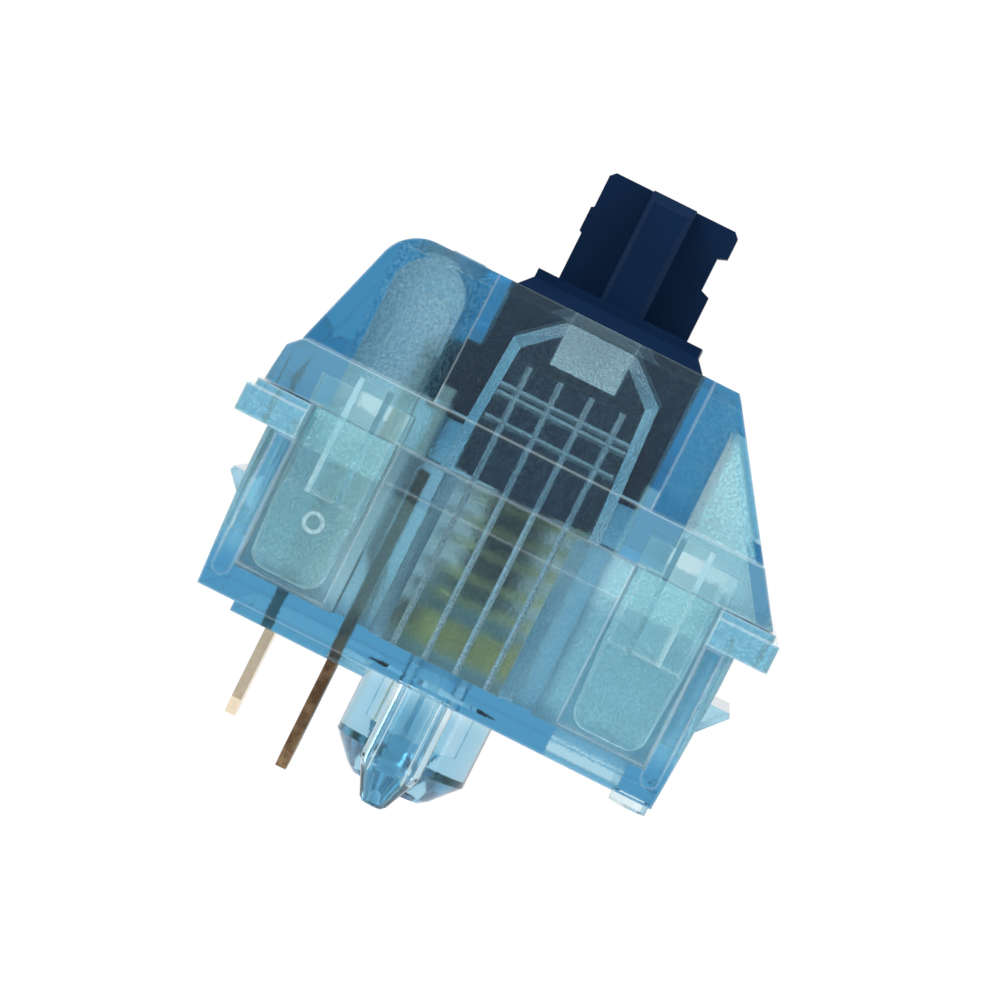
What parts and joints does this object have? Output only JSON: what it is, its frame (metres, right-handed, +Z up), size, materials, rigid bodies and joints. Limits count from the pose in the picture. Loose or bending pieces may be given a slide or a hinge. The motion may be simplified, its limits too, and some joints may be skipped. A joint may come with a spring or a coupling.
{
  "type": "mechanical keyboard switch",
  "caption": "Clear-housed push switch with a cross stem, return coil spring, two contact pins and plate clips, pressed by a keycap.",
  "frame": {"origin": "on the axis of the centre post, in the plane where the feet of the housing sit on the circuit board", "axes": "+Z up along the way the stem rises, +Y towards the two contact pins, X across the two latch faces"},
  "size_m": [0.0156, 0.0156, 0.0185],
  "materials": {
    "clear_blue": "clear light blue polycarbonate, gloss outside and finely rippled inside",
    "navy_plastic": "satin navy acetal",
    "spring_wire": "gold plated steel wire",
    "bronze_sheet": "dark tarnished bronze strip with sheared edges",
    "copper_sheet": "bright copper alloy strip",
    "contact_gold": "gold alloy contact wire"
  },
  "bodies": {
    "housing": {"bottom_housing": "clear_blue", "top_housing": "clear_blue", "return_spring": "spring_wire", "fixed_contact": "bronze_sheet", "fixed_contact_point": "contact_gold", "moving_contact_terminal": "copper_sheet"},
    "stem": {"stem": "navy_plastic"},
    "leaf": {"moving_contact_leaf": "copper_sheet", "moving_contact_point": "contact_gold"}
  },
  "joints": [
    {"name": "stem_slide", "type": "slide", "parent": "housing", "child": "stem", "axis": [0, 0, -1], "range_m": [0, 0.004], "stiffness_N_per_m": 80, "springref_m": -0.0044, "deforming": ["return_spring"]},
    {"name": "leaf_swing", "type": "hinge", "parent": "housing", "child": "leaf", "pos_m": [0, 0.00461, 0.0018], "axis": [1, 0, 0], "range_deg": [0, 3.5]}
  ],
  "couplings": [
    {"joint": "leaf_swing", "follows": "stem_slide", "rad_per_m": 15.27}
  ]
}
